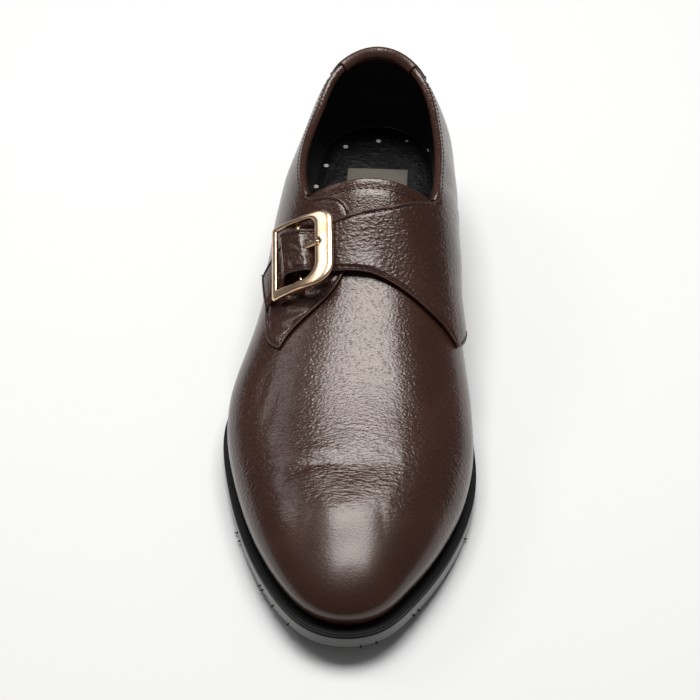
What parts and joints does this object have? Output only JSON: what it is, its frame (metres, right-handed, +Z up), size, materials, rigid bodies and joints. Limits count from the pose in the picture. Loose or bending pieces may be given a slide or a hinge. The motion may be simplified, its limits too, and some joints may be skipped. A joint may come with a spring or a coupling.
{
  "type": "monk strap shoe",
  "caption": "Right-foot monk strap dress shoe: dark pebble leather upper, quarter and strap with a brass buckle, flat black welt, outsole and low heel.",
  "frame": {"origin": "centre of the sole's outline, on the floor under heel and forefoot", "axes": "+Y from toe to heel, +X towards the inner side of the foot, +Z up"},
  "size_m": [0.108, 0.298, 0.0866],
  "materials": {
    "upper_leather": "dark brown pebble grain, semi-gloss",
    "sock": "black, wrinkled, satin",
    "sole_rubber": "black, polished side",
    "welt": "black, matt",
    "buckle": "pinkish gold, polished",
    "loop": "black elastic"
  },
  "bodies": {
    "root": {"outsole": "sole_rubber", "heel": "sole_rubber", "welt": "welt", "insole": "sock", "upper": "upper_leather", "inner_quarter_strap": "upper_leather", "outer_quarter": "upper_leather", "heel_tab": "upper_leather", "buckle_frame": "buckle", "buckle_centre_bar": "buckle", "buckle_prong": "buckle", "buckle_loop": "loop"}
  },
  "joints": []
}
